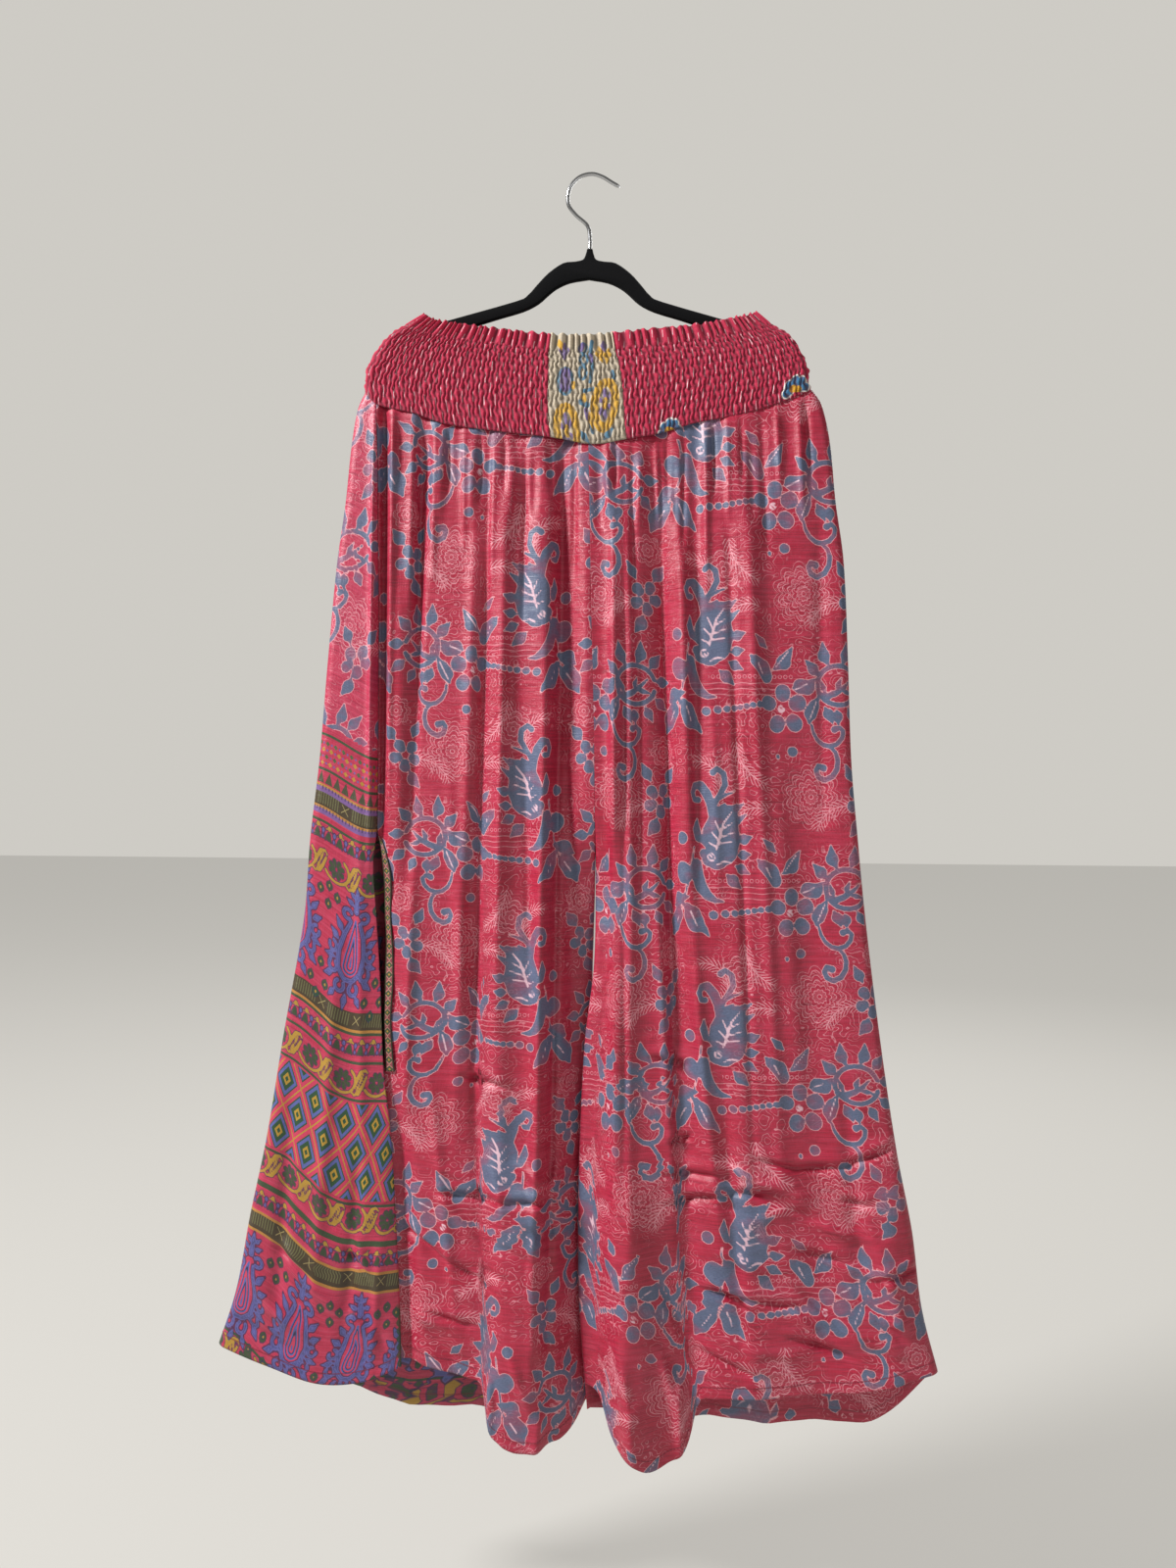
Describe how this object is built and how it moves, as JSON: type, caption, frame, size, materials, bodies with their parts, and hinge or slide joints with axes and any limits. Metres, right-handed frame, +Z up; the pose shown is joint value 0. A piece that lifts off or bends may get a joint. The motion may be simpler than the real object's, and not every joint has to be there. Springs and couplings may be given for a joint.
{
  "type": "butterfly pants on hanger",
  "caption": "Wide-legged butterfly pants with a smocked elastic waistband, a side slit and a border-print side panel, hanging on a flocked clothes hanger with a wire hook.",
  "frame": {"origin": "underside of the hanger's hook at the top of its bend, where it lies on a rod", "axes": "+Z up, +X to the viewer's right along the hanger, +Y away from the viewer towards the back of the garment"},
  "size_m": [0.6942, 0.0629, 1.2082],
  "materials": {
    "waistband_cotton": "smocked printed cotton, matt",
    "waistband_patch_cotton": "smocked printed cotton, matt",
    "printed_sari_silk": "soft slubbed silk with a low sheen",
    "border_sari_silk": "soft slubbed silk with a low sheen",
    "hanger_flock": "black velvet flock",
    "hanger_wire": "polished steel wire"
  },
  "bodies": {
    "root": {"waistband_front_left": "waistband_cotton", "waistband_patch": "waistband_patch_cotton", "waistband_front_right": "waistband_cotton", "waistband_back": "waistband_cotton", "leg_left_front": "printed_sari_silk", "leg_left_back_and_side": "border_sari_silk", "leg_left_slit_facing": "border_sari_silk", "leg_right_front": "printed_sari_silk", "leg_right_back": "printed_sari_silk", "hanger_body": "hanger_flock", "hanger_hook": "hanger_wire"}
  },
  "joints": []
}
